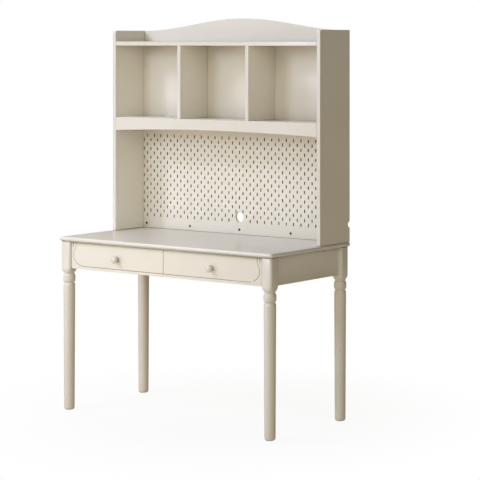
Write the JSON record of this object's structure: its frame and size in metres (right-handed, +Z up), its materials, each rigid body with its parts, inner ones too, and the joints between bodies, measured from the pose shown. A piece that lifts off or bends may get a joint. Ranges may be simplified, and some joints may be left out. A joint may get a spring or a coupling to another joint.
{
  "type": "writing desk with hutch",
  "caption": "Cream painted writing desk on turned legs, with drawers under the top and a fixed hutch of open cubbies, an arched crest and a slotted pegboard back.",
  "frame": {"origin": "on the floor, at the middle of the footprint, which includes the drawer knobs", "axes": "+X to the user's right, -Y towards the user, +Z up"},
  "size_m": [1.1796, 0.547, 1.697],
  "materials": {
    "cream_lacquer": "cream satin lacquer over smooth wood board",
    "knob_lacquer": "cream satin lacquer on a turned knob",
    "drawer_box": "cream low-sheen lacquer on board",
    "plywood": "clear-sealed birch plywood",
    "pine": "bare planed pine",
    "zinc_steel": "zinc-plated folded steel",
    "black_screw": "black oxide screw"
  },
  "bodies": {
    "desk": {"apron_back": "cream_lacquer", "apron_left": "cream_lacquer", "apron_right": "cream_lacquer", "centre_partition": "drawer_box", "corner_block_back_left": "pine", "corner_block_back_right": "pine", "corner_block_front_left": "pine", "corner_block_front_right": "pine", "desktop": "cream_lacquer", "divider_left": "cream_lacquer", "divider_right": "cream_lacquer", "front_frame_left": "cream_lacquer", "front_frame_right": "cream_lacquer", "hutch_crest": "cream_lacquer", "hutch_screw_left_1": "zinc_steel", "hutch_screw_left_2": "zinc_steel", "hutch_screw_right_1": "zinc_steel", "hutch_screw_right_2": "zinc_steel", "hutch_shelf": "cream_lacquer", "hutch_shelf_rail": "cream_lacquer", "hutch_side_left": "cream_lacquer", "hutch_side_right": "cream_lacquer", "hutch_top_board": "cream_lacquer", "leg_back_left": "cream_lacquer", "leg_back_right": "cream_lacquer", "leg_front_left": "cream_lacquer", "leg_front_right": "cream_lacquer", "pegboard_cleat": "cream_lacquer", "pegboard_panel": "cream_lacquer", "pegboard_screw_1": "black_screw", "pegboard_screw_2": "black_screw", "pegboard_screw_3": "black_screw", "pegboard_screw_4": "black_screw", "pegboard_screw_5": "black_screw", "slide_left_inner_fixed": "zinc_steel", "slide_left_outer_fixed": "zinc_steel", "slide_packer_left": "pine", "slide_packer_right": "pine", "slide_right_inner_fixed": "zinc_steel", "slide_right_outer_fixed": "zinc_steel", "upper_back_panel": "cream_lacquer"},
    "drawer_left": {"drawer_left_back": "drawer_box", "drawer_left_bottom": "plywood", "drawer_left_front": "cream_lacquer", "drawer_left_knob": "knob_lacquer", "drawer_left_knob_screw": "zinc_steel", "drawer_left_side_inner": "drawer_box", "drawer_left_side_outer": "drawer_box", "slide_left_inner_moving": "zinc_steel", "slide_left_outer_moving": "zinc_steel"},
    "drawer_right": {"drawer_right_back": "drawer_box", "drawer_right_bottom": "plywood", "drawer_right_front": "cream_lacquer", "drawer_right_knob": "knob_lacquer", "drawer_right_knob_screw": "zinc_steel", "drawer_right_side_inner": "drawer_box", "drawer_right_side_outer": "drawer_box", "slide_right_inner_moving": "zinc_steel", "slide_right_outer_moving": "zinc_steel"}
  },
  "joints": [
    {"name": "drawer_left_slide", "type": "slide", "parent": "desk", "child": "drawer_left", "axis": [0, -1, 0], "range_m": [0, 0.28]},
    {"name": "drawer_right_slide", "type": "slide", "parent": "desk", "child": "drawer_right", "axis": [0, -1, 0], "range_m": [0, 0.28]}
  ]
}
